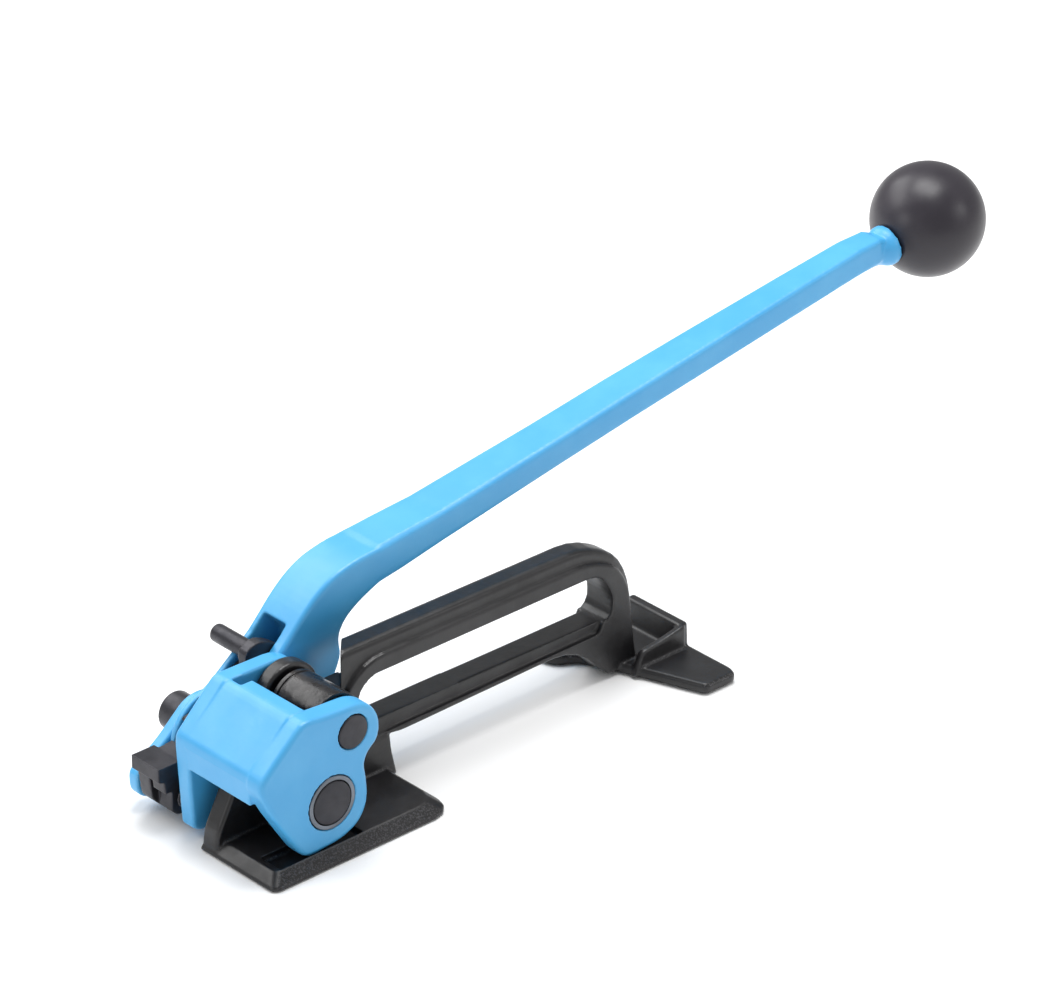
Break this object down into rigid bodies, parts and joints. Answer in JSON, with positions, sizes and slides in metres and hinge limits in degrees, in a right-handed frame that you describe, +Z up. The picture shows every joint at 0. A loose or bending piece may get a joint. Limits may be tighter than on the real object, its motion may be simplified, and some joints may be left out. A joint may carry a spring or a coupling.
{
  "type": "steel strap tensioner",
  "caption": "Hand tensioner for steel strap: flat foot, looped base handle, sprung rocker with a toothed feedwheel, and a long ratchet lever with a ball knob.",
  "frame": {"origin": "on the flat underside of the front foot, straight below the middle of the feedwheel", "axes": "+Z up; +X along the tool from the feedwheel to the knob; +Y across it, from the open side where strap goes in to the ratchet side"},
  "size_m": [0.4628, 0.1072, 0.1565],
  "materials": {
    "base_casting": "satin black baked enamel on an iron casting",
    "gripper_plug": "hardened steel, ground, oiled",
    "pivot_pin": "blackened steel, turned",
    "pivot_sleeve": "blackened steel tube, oiled and glossy",
    "rocker_spring": "spring steel wire",
    "rocker_housing": "light blue enamel on a steel casting",
    "outer_cheek": "light blue enamel on steel plate",
    "cheek_spacer": "zinc-plated steel tube",
    "cheek_screw": "blackened steel screw",
    "shaft_ring": "turned bare steel ring",
    "middle_bush": "turned steel bush, oiled",
    "outer_bush": "turned steel bush, oiled",
    "holding_pawl_pin": "blackened steel pin with a head",
    "holding_pawl_spring": "spring steel wire",
    "drive_shaft": "blackened steel shaft, turned end",
    "feedwheel": "hardened steel, toothed rim",
    "wheel_key": "plain steel key",
    "ratchet_wheel": "blackened hardened steel, oiled",
    "ratchet_key": "plain steel key",
    "shaft_end_cap": "blackened steel cap",
    "lever": "light blue enamel on a steel forging",
    "knob": "moulded black plastic, satin",
    "knob_stud": "threaded steel stud, drawn plain",
    "drive_pawl_pin": "ground steel pin",
    "drive_pawl_spring": "spring steel wire",
    "drive_pawl": "blackened hardened steel",
    "thumb_pin": "blackened steel pin, worn end",
    "holding_pawl": "blackened hardened steel"
  },
  "bodies": {
    "base": {"base_casting": "base_casting", "gripper_plug": "gripper_plug", "pivot_pin": "pivot_pin", "pivot_sleeve": "pivot_sleeve", "rocker_spring": "rocker_spring"},
    "rocker": {"rocker_housing": "rocker_housing", "outer_cheek": "outer_cheek", "cheek_spacer": "cheek_spacer", "cheek_screw": "cheek_screw", "shaft_ring": "shaft_ring", "middle_bush": "middle_bush", "outer_bush": "outer_bush", "holding_pawl_pin": "holding_pawl_pin", "holding_pawl_spring": "holding_pawl_spring"},
    "feed": {"drive_shaft": "drive_shaft", "feedwheel": "feedwheel", "wheel_key": "wheel_key", "ratchet_wheel": "ratchet_wheel", "ratchet_key": "ratchet_key", "shaft_end_cap": "shaft_end_cap"},
    "lever": {"lever": "lever", "knob": "knob", "knob_stud": "knob_stud", "drive_pawl_pin": "drive_pawl_pin", "drive_pawl_spring": "drive_pawl_spring"},
    "drive_pawl": {"drive_pawl": "drive_pawl", "thumb_pin": "thumb_pin"},
    "holding_pawl": {"holding_pawl": "holding_pawl"}
  },
  "joints": [
    {"name": "rocker_lift", "type": "hinge", "parent": "base", "child": "rocker", "pos_m": [0.0115, 0, 0.053], "axis": [0, 1, 0], "range_deg": [0, 14], "stiffness_Nm_per_rad": 6, "springref_deg": -28.65},
    {"name": "feed_spin", "type": "hinge", "parent": "rocker", "child": "feed", "pos_m": [0, 0, 0.025], "axis": [0, -1, 0], "continuous": true},
    {"name": "lever_swing", "type": "hinge", "parent": "rocker", "child": "lever", "pos_m": [0, 0, 0.025], "axis": [0, -1, 0], "range_deg": [0, 75]},
    {"name": "drive_pawl_lift", "type": "hinge", "parent": "lever", "child": "drive_pawl", "pos_m": [0.027, 0, 0.0505], "axis": [0, 1, 0], "range_deg": [0, 20], "stiffness_Nm_per_rad": 0.05, "springref_deg": -28.65},
    {"name": "holding_pawl_lift", "type": "hinge", "parent": "rocker", "child": "holding_pawl", "pos_m": [-0.027, 0, 0.0135], "axis": [0, -1, 0], "range_deg": [0, 15], "stiffness_Nm_per_rad": 0.05, "springref_deg": -28.65}
  ]
}
